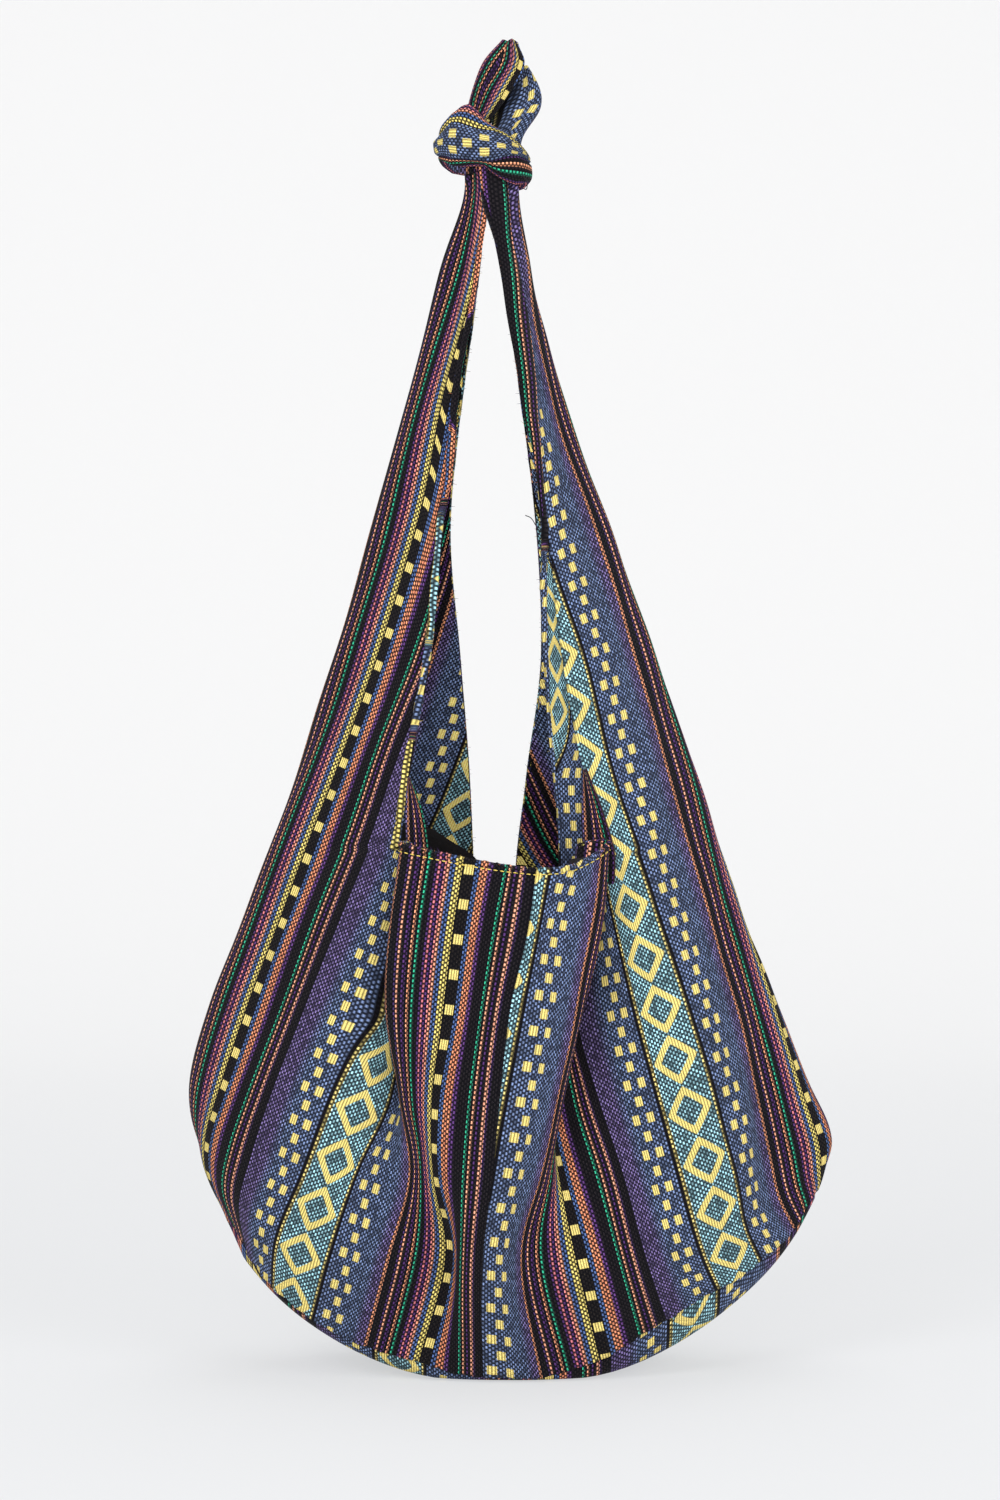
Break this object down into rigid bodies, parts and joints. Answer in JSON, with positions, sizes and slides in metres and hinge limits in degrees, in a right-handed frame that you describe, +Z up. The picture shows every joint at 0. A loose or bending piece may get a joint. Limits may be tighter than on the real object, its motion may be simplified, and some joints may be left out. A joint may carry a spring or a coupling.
{
  "type": "crossbody bag",
  "caption": "Slouchy crossbody sack of striped handwoven cotton with a pointed base, a drape-folded front, a black lining and wide cloth straps tied in a knot at the top.",
  "frame": {"origin": "on the table under the middle of the bag, in the flat part of the base", "axes": "+Z up along the straps, +Y from the draped front of the bag to its back"},
  "size_m": [0.3463, 0.1623, 0.713],
  "materials": {
    "striped_weave": "matte, coarse handwoven cotton with stripes, squares and diamonds",
    "black_lining": "matte plain cotton"
  },
  "bodies": {
    "root": {"left_panel": "striped_weave", "right_panel": "striped_weave", "base_panel": "striped_weave", "lining": "black_lining", "knot_wrap": "striped_weave"}
  },
  "joints": []
}
